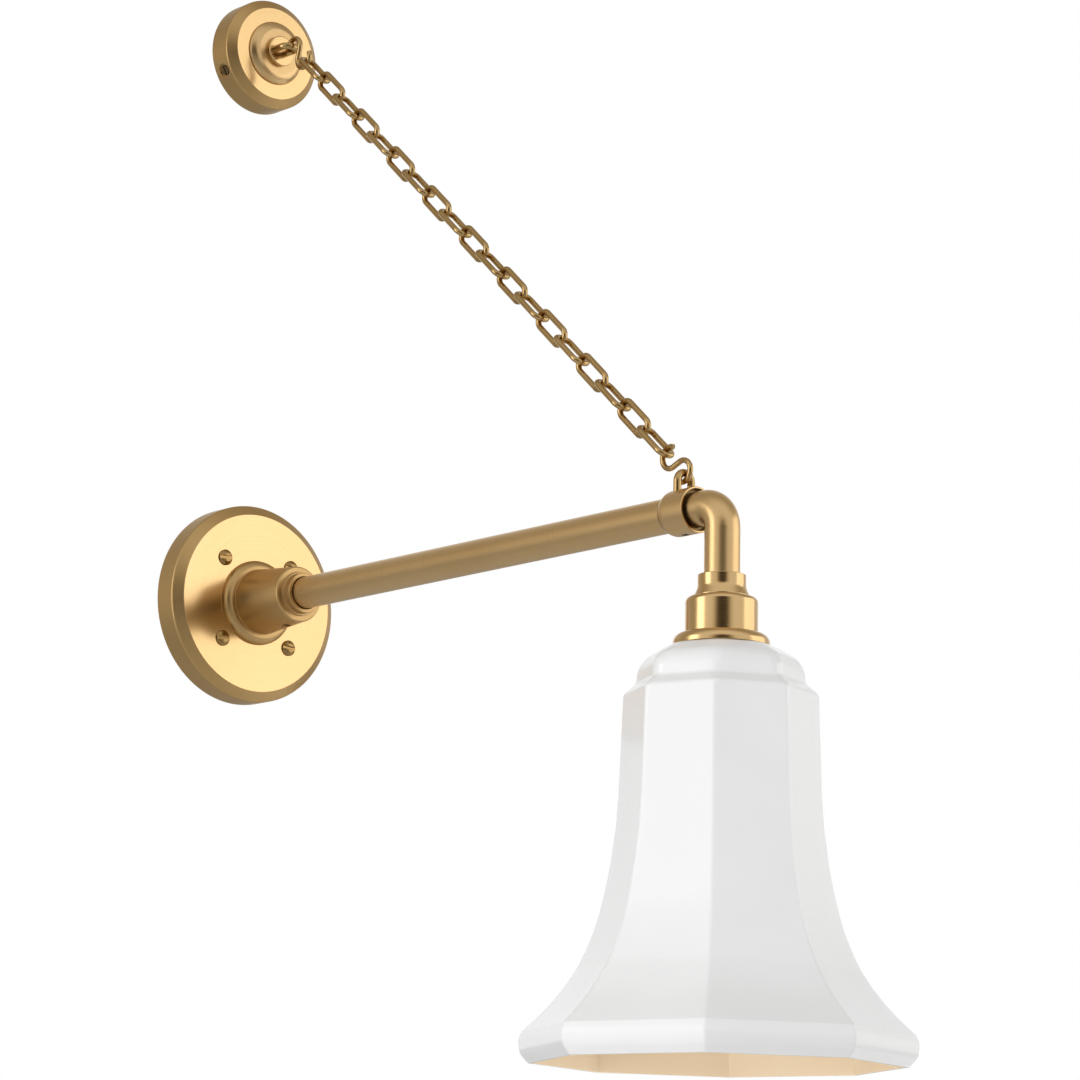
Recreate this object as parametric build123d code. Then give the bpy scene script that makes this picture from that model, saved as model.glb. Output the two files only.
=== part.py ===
from build123d import *
import math
import os

# A wall sconce: an arm on a round plate carries a bell shade of pressed glass,
# and a chain from a second, smaller plate higher up takes the arm's weight.
# The wall is the plane y = 0, the arm reaches out along -Y and +Z is up.  The
# origin is the middle of the lower plate's back.  Sizes are in millimetres,
# "out" is a distance from the wall and "drop" a distance below the arm's axis.

# ---- Clearances ------------------------------------------------------------------------
running_gap = 0.3        # between pieces that move past each other
fit_gap = 0.05           # radial, round a tube, nipple or screw in its bore
spigot_gap = 0.2         # radial, round the wall disc inside the upper plate

# ---- Lower plate and its wall bracket --------------------------------------------------
plate_radius = 60.325
plate_face_radius = 54.4
plate_band = 15.0        # depth of the straight edge
plate_depth = 19.0
plate_sheet = 1.6
bracket_radius = 50.0
bracket_sheet = 2.0
bracket_wire_hole = 12.0
pillar_radius = 4.0
box_slot_half_width = 2.25
box_screws_near = 69.85  # screw spacings of the two common junction boxes
box_screws_far = 88.9
plate_screw_circle = 70.0
plate_screw_radius = 2.08
plate_screw_reach = 11.0
plate_screw_head_radius = 4.4
plate_screw_head_height = 1.7
screw_slot_width = 1.0
screw_slot_depth = 0.8

# ---- Hub that holds the arm on the plate -----------------------------------------------
hub_flange_radius = 25.4
hub_flange_thickness = 3.6
hub_flange_bevel = 1.4
hub_root_radius = 19.8
hub_tip_radius = 16.75
hub_body_length = 42.4
hub_ring_radius = 13.2
hub_ring_length = 1.4
hub_neck_radius = 12.1
hub_neck_length = 4.7
hub_mouth_radius = 10.3
hub_mouth_depth = 6.0
hub_floor = 18.0         # from the hub's back to the seat of the arm tube
nipple_radius = 6.5
nipple_bore = 4.6
nipple_in_hub = 13.5
locknut_across_flats = 19.0
locknut_thickness = 4.0
nipple_past_nut = 3.0
grub_radius = 2.5
grub_key_flats = 2.5
grub_key_share = 0.42    # depth of the key socket as a share of the screw
hub_grub_length = 6.0
hub_grub_place = 31.0    # from the hub's back

# ---- Arm, collar and elbow -------------------------------------------------------------
arm_reach = 430.0        # wall to the shade's axis
tube_radius = 9.525
tube_wall = 1.5
bend_radius = 13.0
elbow_bore = 3.4
collar_radius = 12.6
collar_length = 21.0
collar_setback = 19.0    # shade's axis to the collar's front
collar_shoulder = 3.6    # length of the tapered back shoulder
collar_lip_radius = 10.2
collar_mouth_radius = 11.5
collar_mouth_depth = 3.0
collar_grub_place = 9.0  # from the collar's front
collar_grub_length = 2.8
tube_joint_place = 10.5  # from the collar's front
coupler_wall = 1.5
coupler_length = 28.0

# ---- Cup, holder and gallery over the shade --------------------------------------------
cup_drop = 38.2
cup_radius = 12.8
cup_straight = 6.8
cup_foot_radius = 14.7
cup_foot_edge = 0.7
cup_height = 12.0
cup_floor = 4.2
insert_length = 12.0
lamp_nipple_radius = 4.95
lamp_nipple_bore = 3.5
holder_radius = 19.2
holder_height = 19.6
holder_shoulder = 1.8
holder_sheet = 1.2
gallery_radius = 25.6
gallery_height = 6.6
gallery_shoulder = 3.0
gallery_sheet = 1.2
gallery_bore = 17.6

# ---- Lampholder ------------------------------------------------------------------------
lampholder_radius = 17.2
lampholder_headroom = 2.5
lampholder_web = 8.0
thread_radius = 19.0     # outer thread that the shade ring runs on
thread_end = 28.5        # from the gallery's underside ledge to the lampholder's mouth
shell_radius = 13.9
shell_wall = 0.6
shell_length = 24.0
shell_inset = 4.0        # from the lampholder's mouth
contact_foot_radius = 6.0
contact_foot = 1.0
contact_tip_radius = 3.2
contact_height = 4.0

# ---- Glass shade -----------------------------------------------------------------------
# Its section goes from corner to corner: each drop is down from the corner before it,
# and each step out from there, measured across the flats of the eight sides.
shade_turn = -2.0        # degrees, a corner's turn from straight out
shade_sides = 8
glass_wall = 4.0
inner_round = 1.5        # least fillet inside the shade
side_fill = 0.98         # most of a straight side that its two fillets may take up
neck_hole_radius = 20.0
crown_half_width = 27.7
crown_round = 10.0
dome_step = 13.5
dome_drop = 8.9
dome_round = 12.0
cove_step = 0.8
cove_drop = 11.0
cove_round = 3.0
waist_step = 5.6
waist_drop = 5.3
waist_round = 3.0
flare_step = 2.55
flare_drop = 80.7
flare_round = 250.0
bell_step = 10.75
bell_drop = 49.2
bell_round = 104.0
mouth_step = 14.4
mouth_drop = 27.2
mouth_round = 98.0
crease_step = 17.4
crease_drop = 16.9
rim_step = 2.8
rim_drop = 5.6
rim_round = 5.0
hem_inset = 0.7
hem_drop = 8.5
hem_round = 5.0
lip_inset = 4.3
lip_drop = 4.3

# ---- Shade ring ------------------------------------------------------------------------
ring_radius = 24.0
ring_height = 5.0

# ---- Upper plate and its wall disc -----------------------------------------------------
canopy_radius = 34.9
canopy_face_radius = 29.3
canopy_band = 15.0
canopy_depth = 18.9
canopy_sheet = 1.2
disc_thickness = 12.0
disc_screw_spacing = 40.0
disc_screw_hole = 2.25
boss_radius = 20.2
boss_top_radius = 17.0
boss_height = 4.3
knob_radius = 9.6
knob_height = 3.0
stud_radius = 3.0
nut_across_flats = 10.0
nut_thickness = 5.0
side_screw_angle = 207.0 # degrees, seen facing the wall
side_screw_out = 8.5
side_screw_hole = 3.45
side_screw_head = 3.2
side_screw_radius = 2.0
side_screw_length = 10.0
side_screw_recess = 0.4

# ---- Chain, hooks and the two wire loops -----------------------------------------------
wire_sides = 8
bend_corners = 6
loop_wire = 4.4
loop_half_gauge = 5.0    # leg to the loop's middle
loop_leg = 6.0           # bend centre to what the loop stands on
loop_seat = 2.0          # depth of its legs' holes
collar_loop_rise = 16.6  # bend centre above the arm's axis
collar_loop_setback = 30.0
collar_skin = 0.5        # left under the legs' holes
link_wire = 3.2
link_inner_length = 24.0
link_rod_spacing = 9.7
link_count = 19
hook_radius = 6.0
hook_centres = 13.4
hook_close = 15.8        # degrees, each bow past its half turn
hook_tail = 4.3

# ---- Places that follow from the sizes -------------------------------------------------
hub_back = plate_depth
collar_front = arm_reach - collar_setback
collar_back = collar_front - collar_length
tube_joint = collar_front - tube_joint_place
tube_bore = tube_radius - tube_wall
socket_radius = tube_radius + fit_gap
cup_base = cup_drop + cup_height
cup_seat = cup_base - cup_floor
holder_base = cup_base + holder_height
ledge_drop = holder_base + gallery_sheet
gallery_base = holder_base + gallery_height
shade_top = gallery_base + running_gap
lampholder_top = cup_base + holder_sheet + lampholder_headroom
lampholder_mouth = ledge_drop + thread_end
loop_bow = loop_half_gauge
loop_hole_radius = loop_wire / 2 / math.cos(math.pi / wire_sides) + fit_gap
knob_front = canopy_depth + boss_height + knob_height
chain_start_out = knob_front + loop_leg + loop_bow
chain_end_out = arm_reach - collar_loop_setback
chain_end_rise = collar_loop_rise + loop_bow
hook_to_bar = hook_radius - link_wire / 2 - loop_wire / 2 - running_gap
hook_to_link = hook_radius - link_wire - running_gap
link_end = link_inner_length / 2 + link_wire / 2
link_pitch = link_inner_length - running_gap
first_link = hook_to_bar + hook_centres + hook_to_link + link_end
chain_length = 2 * first_link + (link_count - 1) * link_pitch
chain_run = chain_end_out - chain_start_out
chain_fall = math.sqrt(chain_length ** 2 - chain_run ** 2)
canopy_height = chain_end_rise + chain_fall

# Each plane's own y axis is the axis that its piece is turned about.
wall_axis = Plane(origin=(0, 0, 0), x_dir=(1, 0, 0), z_dir=(0, 0, -1))
canopy_axis = Plane(origin=(0, 0, canopy_height), x_dir=(1, 0, 0), z_dir=(0, 0, -1))
shade_axis = Plane(origin=(0, -arm_reach, 0), x_dir=(1, 0, 0), z_dir=(0, -1, 0))


def outline(corners):
    """A closed face; a corner's third value, where it has one, is its fillet.

    A fillet is made smaller where the sides beside it are too short for it.
    """
    points = [Vector(*corner[:2]) for corner in corners]
    rounds = [corner[2] if len(corner) > 2 else 0 for corner in corners]
    sides = [end - start for start, end in zip(points[-1:] + points, points)]
    sides.append(sides[0])
    half_turns = [before.get_angle(after) / 2 for before, after in zip(sides, sides[1:])]
    takes = [size * math.tan(math.radians(half)) for size, half in zip(rounds, half_turns)]
    fits = []
    for side, start_take, end_take in zip(sides, takes[-1:] + takes, takes + takes[:1]):
        taken = start_take + end_take
        fits.append(min(1, side_fill * side.length / taken) if taken else 1)
    rounds = [size * min(before, after) for size, before, after in zip(rounds, fits, fits[1:])]
    return make_face(FilletPolyline(*points, radius=rounds, close=True))


def turned(plane, *corners):
    """A solid turned about the plane's y axis from (radius, along) corners."""
    return revolve(plane * outline(corners), axis=Axis(plane.origin, plane.y_dir))


def tube(plane, radius, bore, start, end):
    return turned(plane, (bore, start), (radius, start), (radius, end), (bore, end))


def rod(place, radius, length):
    """A round rod or drilled hole that starts at the plane and follows its z axis."""
    return place * Cylinder(radius, length, align=(Align.CENTER, Align.CENTER, Align.MIN))


def prism(place, across_flats, length):
    hexagon = RegularPolygon(across_flats / 2, 6, major_radius=False)
    return place * extrude(hexagon, length)


def grub_screw(place, length):
    """A headless screw; the plane is its tip, and its key socket is at the far end."""
    key_depth = grub_key_share * length
    key_seat = place * Pos(0, 0, length - key_depth)
    return rod(place, grub_radius, length) - prism(key_seat, grub_key_flats, key_depth)


def bend(centre, radius, start, turn, corners=bend_corners):
    """Corners of a bend whose straight sides touch the true arc at their middles."""
    step = turn / corners
    reach = radius / math.cos(math.radians(step / 2))
    angles = [math.radians(start + step * (index + 0.5)) for index in range(corners)]
    return [(centre + reach * math.cos(angle), reach * math.sin(angle)) for angle in angles]


def bent_wire(place, centre_line, diameter, closed=False):
    """Round wire, drawn with flat sides, along a centre line in the plane."""
    path = Polyline(*centre_line, close=closed)
    start = Plane(origin=path @ 0, x_dir=(0, 0, 1), z_dir=path % 0)
    section = RegularPolygon(diameter / 2, wire_sides, major_radius=False, rotation=180 / wire_sides)
    return place * sweep(start * section, path=path, transition=Transition.RIGHT)


# ---- Lower plate -----------------------------------------------------------------------
screw_step = plate_screw_circle / 2 * math.sqrt(0.5)
screw_places = [(x, z) for x in (-screw_step, screw_step) for z in (-screw_step, screw_step)]


def outward(x, out, z):
    """A plane at a distance from the wall whose z axis points away from the wall."""
    return Plane(origin=(x, -out, z), x_dir=(1, 0, 0), z_dir=(0, -1, 0))


def make_backplate():
    bore = nipple_radius + fit_gap
    inner = plate_radius - plate_sheet
    face_inner = plate_face_radius - plate_sheet / 2
    plate = turned(
        wall_axis,
        (bore, plate_depth),
        (plate_face_radius, plate_depth),
        (plate_radius, plate_band),
        (plate_radius, 0),
        (inner, 0),
        (inner, plate_band - plate_sheet / 2),
        (face_inner, plate_depth - plate_sheet),
        (bore, plate_depth - plate_sheet),
    )
    for x, z in screw_places:
        plate -= rod(outward(x, 0, z), plate_screw_radius + fit_gap, plate_depth)
    return plate


def make_wall_bracket():
    bracket = tube(wall_axis, bracket_radius, bracket_wire_hole, 0, bracket_sheet)
    pillar_height = plate_depth - plate_sheet - bracket_sheet
    for x, z in screw_places:
        bracket += rod(outward(x, bracket_sheet, z), pillar_radius, pillar_height)
    for x, z in screw_places:
        bracket -= rod(outward(x, 0, z), plate_screw_radius + fit_gap, plate_depth)
    slot_centre = (box_screws_near + box_screws_far) / 4
    slot_run = (box_screws_far - box_screws_near) / 2
    for side in (-1, 1):
        slot = SlotCenterToCenter(slot_run, 2 * box_slot_half_width)
        bracket -= outward(side * slot_centre, 0, 0) * extrude(slot, bracket_sheet)
    return bracket


def make_backplate_screws():
    screws = []
    for x, z in screw_places:
        seat = outward(x, plate_depth, z)
        head = rod(seat, plate_screw_head_radius, plate_screw_head_height)
        slot_floor = seat * Pos(0, 0, plate_screw_head_height)
        slot = Box(3 * plate_screw_head_radius, screw_slot_width, 2 * screw_slot_depth)
        shank = rod(outward(x, plate_depth - plate_screw_reach, z), plate_screw_radius, plate_screw_reach)
        screws.append(head + shank - slot_floor * slot)
    return Compound(children=screws)


# ---- Hub -------------------------------------------------------------------------------
def make_hub():
    flange_front = hub_back + hub_flange_thickness
    body_front = hub_back + hub_body_length
    ring_front = body_front + hub_ring_length
    neck_front = ring_front + hub_neck_length
    tube_seat = hub_back + hub_floor
    nipple_seat = hub_back + nipple_in_hub
    hub = turned(
        wall_axis,
        (nipple_radius + fit_gap, hub_back),
        (hub_flange_radius, hub_back),
        (hub_flange_radius, flange_front - hub_flange_bevel),
        (hub_flange_radius - hub_flange_bevel, flange_front),
        (hub_root_radius, flange_front),
        (hub_tip_radius, body_front),
        (hub_ring_radius, body_front),
        (hub_ring_radius, ring_front),
        (hub_neck_radius, ring_front),
        (hub_neck_radius, neck_front),
        (hub_mouth_radius, neck_front),
        (hub_mouth_radius, neck_front - hub_mouth_depth),
        (socket_radius, neck_front - hub_mouth_depth),
        (socket_radius, tube_seat),
        (nipple_bore, tube_seat),
        (nipple_bore, nipple_seat),
        (nipple_radius + fit_gap, nipple_seat),
    )
    return hub - rod(hub_grub_plane(), grub_radius + fit_gap, hub_root_radius)


def hub_grub_plane():
    out = hub_back + hub_grub_place
    return Plane(origin=(0, -out, -socket_radius), x_dir=(1, 0, 0), z_dir=(0, 0, -1))


def make_hub_nipple():
    start = plate_depth - plate_sheet - locknut_thickness - nipple_past_nut
    return tube(wall_axis, nipple_radius, nipple_bore, start, hub_back + nipple_in_hub)


def make_hub_locknut():
    back = plate_depth - plate_sheet - locknut_thickness
    nut = prism(outward(0, back, 0), locknut_across_flats, locknut_thickness)
    return nut - rod(outward(0, back, 0), nipple_radius + fit_gap, locknut_thickness)


# ---- Arm -------------------------------------------------------------------------------
def make_arm_tube():
    return tube(wall_axis, tube_radius, tube_bore, hub_back + hub_floor, tube_joint)


def make_tube_coupler():
    radius = tube_bore - fit_gap
    start = tube_joint - coupler_length / 2
    return tube(wall_axis, radius, radius - coupler_wall, start, start + coupler_length)


def make_elbow():
    """A cast elbow, drilled from both ends and counterbored for its two spigots."""
    start = (-tube_joint, 0)
    corner = (-arm_reach, 0)
    end = (-arm_reach, -cup_seat)
    path = Plane.YZ * FilletPolyline(start, corner, end, radius=bend_radius)
    elbow = sweep(Plane(origin=path @ 0, z_dir=path % 0) * Circle(tube_radius), path=path)
    mouth = outward(0, tube_joint, 0)
    foot = Plane(origin=(0, -arm_reach, -cup_seat), x_dir=(1, 0, 0), z_dir=(0, 0, 1))
    elbow -= rod(mouth, elbow_bore, arm_reach - tube_joint)
    elbow -= rod(foot, elbow_bore, cup_seat)
    elbow -= rod(mouth, tube_bore, coupler_length / 2)
    return elbow - rod(foot, tube_bore, insert_length)


def make_collar():
    shoulder_end = collar_back + collar_shoulder
    collar = turned(
        wall_axis,
        (socket_radius, collar_back),
        (collar_lip_radius, collar_back),
        (collar_radius, shoulder_end),
        (collar_radius, collar_front),
        (collar_mouth_radius, collar_front),
        (collar_mouth_radius, collar_front - collar_mouth_depth),
        (socket_radius, collar_front - collar_mouth_depth),
    )
    collar -= rod(collar_grub_plane(), grub_radius + fit_gap, collar_radius)
    for side in (-1, 1):
        seat = Plane(origin=(side * loop_half_gauge, -chain_end_out, socket_radius + collar_skin))
        collar -= rod(seat, loop_hole_radius, collar_radius)
    return collar


def collar_grub_plane():
    out = collar_front - collar_grub_place
    return Plane(origin=(0, -out, -socket_radius), x_dir=(1, 0, 0), z_dir=(0, 0, -1))


# ---- Cup, holder, gallery --------------------------------------------------------------
def make_tube_insert():
    top = cup_seat - insert_length
    return tube(shade_axis, tube_bore - fit_gap, lamp_nipple_radius + fit_gap, -cup_seat, -top)


def make_lamp_nipple():
    top = cup_seat - insert_length
    base = lampholder_top + lampholder_web
    return tube(shade_axis, lamp_nipple_radius, lamp_nipple_bore, -base, -top)


def make_tube_cup():
    straight_end = cup_drop + cup_straight
    foot_top = cup_base - cup_foot_edge
    bore = lamp_nipple_radius + fit_gap
    return turned(
        shade_axis,
        (socket_radius, -cup_drop),
        (cup_radius, -cup_drop),
        (cup_radius, -straight_end),
        (cup_foot_radius, -foot_top),
        (cup_foot_radius, -cup_base),
        (bore, -cup_base),
        (bore, -cup_seat),
        (socket_radius, -cup_seat),
    )


def make_holder_shell():
    inner = holder_radius - holder_sheet
    bore = lamp_nipple_radius + fit_gap
    roof = cup_base + holder_sheet
    return turned(
        shade_axis,
        (bore, -cup_base),
        (holder_radius - holder_shoulder, -cup_base),
        (holder_radius, -cup_base - holder_shoulder),
        (holder_radius, -holder_base),
        (inner, -holder_base),
        (inner, -roof - holder_shoulder),
        (inner - holder_shoulder, -roof),
        (bore, -roof),
    )


def make_gallery():
    inner = gallery_radius - gallery_sheet
    return turned(
        shade_axis,
        (gallery_bore, -holder_base),
        (gallery_radius - gallery_shoulder, -holder_base),
        (gallery_radius, -holder_base - gallery_shoulder),
        (gallery_radius, -gallery_base),
        (inner, -gallery_base),
        (inner, -ledge_drop - gallery_shoulder),
        (inner - gallery_shoulder, -ledge_drop),
        (gallery_bore, -ledge_drop),
    )


# ---- Lampholder ------------------------------------------------------------------------
def make_lampholder():
    web_base = lampholder_top + lampholder_web
    bore = lamp_nipple_radius + fit_gap
    well = shell_radius + fit_gap
    return turned(
        shade_axis,
        (bore, -lampholder_top),
        (lampholder_radius, -lampholder_top),
        (lampholder_radius, -ledge_drop),
        (thread_radius, -ledge_drop),
        (thread_radius, -lampholder_mouth),
        (well, -lampholder_mouth),
        (well, -web_base),
        (bore, -web_base),
    )


def make_lamp_shell():
    end = lampholder_mouth - shell_inset
    return tube(shade_axis, shell_radius, shell_radius - shell_wall, -end, shell_length - end)


def make_centre_contact():
    top = lampholder_top + lampholder_web
    return turned(
        shade_axis,
        (0, -top),
        (contact_foot_radius, -top),
        (contact_foot_radius, -top - contact_foot),
        (contact_tip_radius, -top - contact_foot),
        (contact_tip_radius, -top - contact_height),
        (0, -top - contact_height),
    )


# ---- Glass shade -----------------------------------------------------------------------
def inset(corners, wall):
    """The same run of corners moved inwards by the wall, with their fillets to match."""
    moved = []
    for before, corner, after in zip(corners, corners[1:], corners[2:]):
        run_in = math.atan2(corner[1] - before[1], corner[0] - before[0])
        run_out = math.atan2(after[1] - corner[1], after[0] - corner[0])
        turn = run_out - run_in
        slant = (run_in + run_out) / 2
        reach = wall / math.cos(turn / 2)
        x = corner[0] + reach * math.sin(slant)
        z = corner[1] - reach * math.cos(slant)
        moved.append((x, z, max(inner_round, corner[2] + math.copysign(wall, turn))))
    return moved


def run_on(corners):
    """Corners in the shade's own frame from (step, drop, round) counted from corner to corner."""
    width = 0
    level = 0
    placed = []
    for step, drop, size in corners:
        width += step
        level -= drop
        placed.append((width, level, size))
    return placed


def make_glass_shade():
    """The wall's section, run round an eight-sided path with mitred corners."""
    core = (neck_hole_radius * math.cos(math.pi / shade_sides) - glass_wall, 0)
    outside = run_on([
        (crown_half_width, 0, crown_round),
        (dome_step, dome_drop, dome_round),
        (cove_step, cove_drop, cove_round),
        (waist_step, waist_drop, waist_round),
        (flare_step, flare_drop, flare_round),
        (bell_step, bell_drop, bell_round),
        (mouth_step, mouth_drop, mouth_round),
        (crease_step, crease_drop, 0),
        (rim_step, rim_drop, rim_round),
        (-hem_inset, hem_drop, hem_round),
        (-lip_inset, lip_drop, 0),
    ])
    side = outside[:8]
    crease_half_width = side[-1][0]
    lip_level = outside[-1][1]
    inner = inset([core, *side, (crease_half_width, lip_level)], glass_wall)
    inner.append((crease_half_width - glass_wall, lip_level))
    section = outline([core, *outside, *reversed(inner), (core[0], -glass_wall)])
    path = RegularPolygon(crown_half_width, shade_sides, major_radius=False).wire()
    across = (path % 0).cross(Vector(0, 0, 1))
    start = Plane(origin=(path @ 0) - across * crown_half_width, x_dir=across, z_dir=-(path % 0))
    shade = sweep(start * section, path=path, transition=Transition.RIGHT)
    shade -= Cylinder(neck_hole_radius, 4 * glass_wall)
    corner_at = Location((0, -arm_reach, -shade_top), (0, 0, shade_turn - 90))
    return corner_at * shade


def make_shade_ring():
    top = shade_top + glass_wall + running_gap
    bore = thread_radius + running_gap
    return tube(shade_axis, ring_radius, bore, -top - ring_height, -top)


# ---- Upper plate -----------------------------------------------------------------------
def side_screw_plane(radius):
    angle = math.radians(side_screw_angle)
    aim = Vector(math.cos(angle), 0, math.sin(angle))
    centre = Vector(0, -side_screw_out, canopy_height)
    return Plane(origin=centre + aim * radius, z_dir=aim)


def make_canopy():
    inner = canopy_radius - canopy_sheet
    bore = stud_radius + fit_gap
    canopy = turned(
        canopy_axis,
        (bore, canopy_depth),
        (canopy_face_radius, canopy_depth),
        (canopy_radius, canopy_band),
        (canopy_radius, 0),
        (inner, 0),
        (inner, canopy_band - canopy_sheet / 2),
        (canopy_face_radius - canopy_sheet / 2, canopy_depth - canopy_sheet),
        (bore, canopy_depth - canopy_sheet),
    )
    return canopy - rod(side_screw_plane(boss_radius), side_screw_hole, canopy_radius)


def disc_radius():
    return canopy_radius - canopy_sheet - spigot_gap


def make_canopy_disc():
    disc = rod(outward(0, 0, canopy_height), disc_radius(), disc_thickness)
    for side in (-1, 1):
        hole_place = outward(side * disc_screw_spacing / 2, 0, canopy_height)
        disc -= rod(hole_place, disc_screw_hole, disc_thickness)
    shank_place = side_screw_plane(disc_radius() - side_screw_length)
    return disc - rod(shank_place, side_screw_radius + fit_gap, side_screw_length + canopy_sheet)


def make_canopy_screw():
    head_height = canopy_sheet + spigot_gap - side_screw_recess
    shank = rod(side_screw_plane(disc_radius() - side_screw_length), side_screw_radius, side_screw_length)
    head = rod(side_screw_plane(disc_radius()), side_screw_head, head_height)
    slot_place = side_screw_plane(disc_radius() + head_height)
    slot = Box(3 * side_screw_head, screw_slot_width, 2 * screw_slot_depth)
    return shank + head - slot_place * slot


def make_canopy_boss():
    bore = stud_radius + fit_gap
    top = canopy_depth + boss_height
    return turned(
        canopy_axis,
        (bore, canopy_depth),
        (boss_radius, canopy_depth),
        (boss_top_radius, top),
        (bore, top),
    )


def make_loop_knob():
    base = canopy_depth + boss_height
    stud_end = canopy_depth - canopy_sheet - nut_thickness
    knob = turned(
        canopy_axis,
        (0, stud_end),
        (stud_radius, stud_end),
        (stud_radius, base),
        (knob_radius, base),
        (knob_radius, knob_front),
        (0, knob_front),
    )
    for side in (-1, 1):
        seat = outward(side * loop_half_gauge, knob_front - loop_seat, canopy_height)
        knob -= rod(seat, loop_hole_radius, loop_seat)
    return knob


def make_canopy_nut():
    back = canopy_depth - canopy_sheet - nut_thickness
    nut = prism(outward(0, back, canopy_height), nut_across_flats, nut_thickness)
    return nut - rod(outward(0, back, canopy_height), stud_radius + fit_gap, nut_thickness)


# ---- Wire loops, hooks and chain links -------------------------------------------------
def wire_loop(foot, leg):
    """A U of wire; the plane's x axis runs from the feet of its legs to its bow."""
    half = loop_half_gauge
    line = [(0, -half)] + bend(leg, half, -90, 180) + [(0, half)]
    return bent_wire(foot, line, loop_wire)


def make_canopy_loop():
    feet = knob_front - loop_seat
    foot = Plane(origin=(0, -feet, canopy_height), x_dir=(0, -1, 0), z_dir=(0, 0, 1))
    return wire_loop(foot, loop_leg + loop_seat)


def make_collar_loop():
    feet = socket_radius + collar_skin
    foot = Plane(origin=(0, -chain_end_out, feet), x_dir=(0, 0, 1), z_dir=(0, 1, 0))
    return wire_loop(foot, collar_loop_rise - feet)


chain_start = Vector(0, -chain_start_out, canopy_height)
chain_aim = Vector(0, -chain_run, -chain_fall).normalized()


def on_chain(distance, normal):
    """A plane on the chain's line whose x axis runs down the chain."""
    return Plane(origin=chain_start + chain_aim * distance, x_dir=chain_aim, z_dir=normal)


def s_hook(distance, side):
    """An S of wire; the plane is the middle of its first bow, and side turns it over."""
    lean = math.degrees(math.acos(2 * hook_radius / hook_centres))
    sweep_angle = 180 + hook_close
    end = math.radians(lean + sweep_angle)
    end_x = hook_radius * math.cos(end) - hook_tail * math.sin(end)
    end_y = hook_radius * math.sin(end) + hook_tail * math.cos(end)
    bow = [(end_x, end_y)] + bend(0, hook_radius, lean + sweep_angle, -sweep_angle)
    other_bow = [(hook_centres - x, -y) for x, y in reversed(bow)]
    line = [(x, side * y) for x, y in bow + other_bow]
    return bent_wire(on_chain(distance, (-1, 0, 0)), line, link_wire)


def chain_link(index):
    """One welded link; each lies a quarter turn round from the one before it."""
    bow = link_rod_spacing / 2
    middle = link_end - bow
    line = bend(middle, bow, -90, 180) + bend(-middle, bow, 90, 180)
    across = Vector(1, 0, 0)
    flat = index % 2 == 0
    normal = chain_aim.cross(across) if flat else across
    return bent_wire(on_chain(first_link + index * link_pitch, normal), line, link_wire, closed=True)


pieces = {
    "wall_bracket": make_wall_bracket(),
    "backplate": make_backplate(),
    "backplate_screws": make_backplate_screws(),
    "hub": make_hub(),
    "hub_nipple": make_hub_nipple(),
    "hub_locknut": make_hub_locknut(),
    "hub_grub_screw": grub_screw(hub_grub_plane(), hub_grub_length),
    "arm_tube": make_arm_tube(),
    "tube_coupler": make_tube_coupler(),
    "collar": make_collar(),
    "collar_grub_screw": grub_screw(collar_grub_plane(), collar_grub_length),
    "collar_loop": make_collar_loop(),
    "elbow": make_elbow(),
    "tube_insert": make_tube_insert(),
    "tube_cup": make_tube_cup(),
    "lamp_nipple": make_lamp_nipple(),
    "holder_shell": make_holder_shell(),
    "gallery": make_gallery(),
    "lampholder": make_lampholder(),
    "lamp_shell": make_lamp_shell(),
    "centre_contact": make_centre_contact(),
    "glass_shade": make_glass_shade(),
    "shade_ring": make_shade_ring(),
    "canopy": make_canopy(),
    "canopy_disc": make_canopy_disc(),
    "canopy_screw": make_canopy_screw(),
    "canopy_boss": make_canopy_boss(),
    "loop_knob": make_loop_knob(),
    "canopy_nut": make_canopy_nut(),
    "canopy_loop": make_canopy_loop(),
    "top_hook": s_hook(hook_to_bar, 1),
    "bottom_hook": s_hook(chain_length - hook_to_bar - hook_centres, -1),
}
for index in range(link_count):
    pieces[f"chain_link_{index + 1:02d}"] = chain_link(index)

os.makedirs("parts", exist_ok=True)
for name, piece in pieces.items():
    export_step(piece, f"parts/{name}.step")
print(f"canopy height {canopy_height:.2f}, chain length {chain_length:.2f}, {len(pieces)} nodes")
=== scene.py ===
import math

import bmesh
import bpy
from mathutils import Matrix, Vector


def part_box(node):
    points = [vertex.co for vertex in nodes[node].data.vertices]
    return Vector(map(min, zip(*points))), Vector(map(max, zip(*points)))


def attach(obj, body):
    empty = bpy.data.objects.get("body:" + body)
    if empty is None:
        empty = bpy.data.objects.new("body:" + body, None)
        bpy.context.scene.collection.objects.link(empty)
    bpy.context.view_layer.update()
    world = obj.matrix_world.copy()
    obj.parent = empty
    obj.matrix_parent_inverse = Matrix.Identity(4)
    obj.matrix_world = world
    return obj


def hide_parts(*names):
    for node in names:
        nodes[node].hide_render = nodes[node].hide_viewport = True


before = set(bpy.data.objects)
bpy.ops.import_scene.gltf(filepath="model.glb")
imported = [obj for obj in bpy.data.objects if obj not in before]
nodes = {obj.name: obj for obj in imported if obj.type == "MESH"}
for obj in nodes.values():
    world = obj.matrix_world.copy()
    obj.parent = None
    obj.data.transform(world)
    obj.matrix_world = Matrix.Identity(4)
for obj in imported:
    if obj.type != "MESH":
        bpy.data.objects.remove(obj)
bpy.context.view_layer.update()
mm = 0.001


def middle(node):
    low, high = (Vector(corner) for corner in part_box(node))
    return (low + high) / 2


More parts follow.
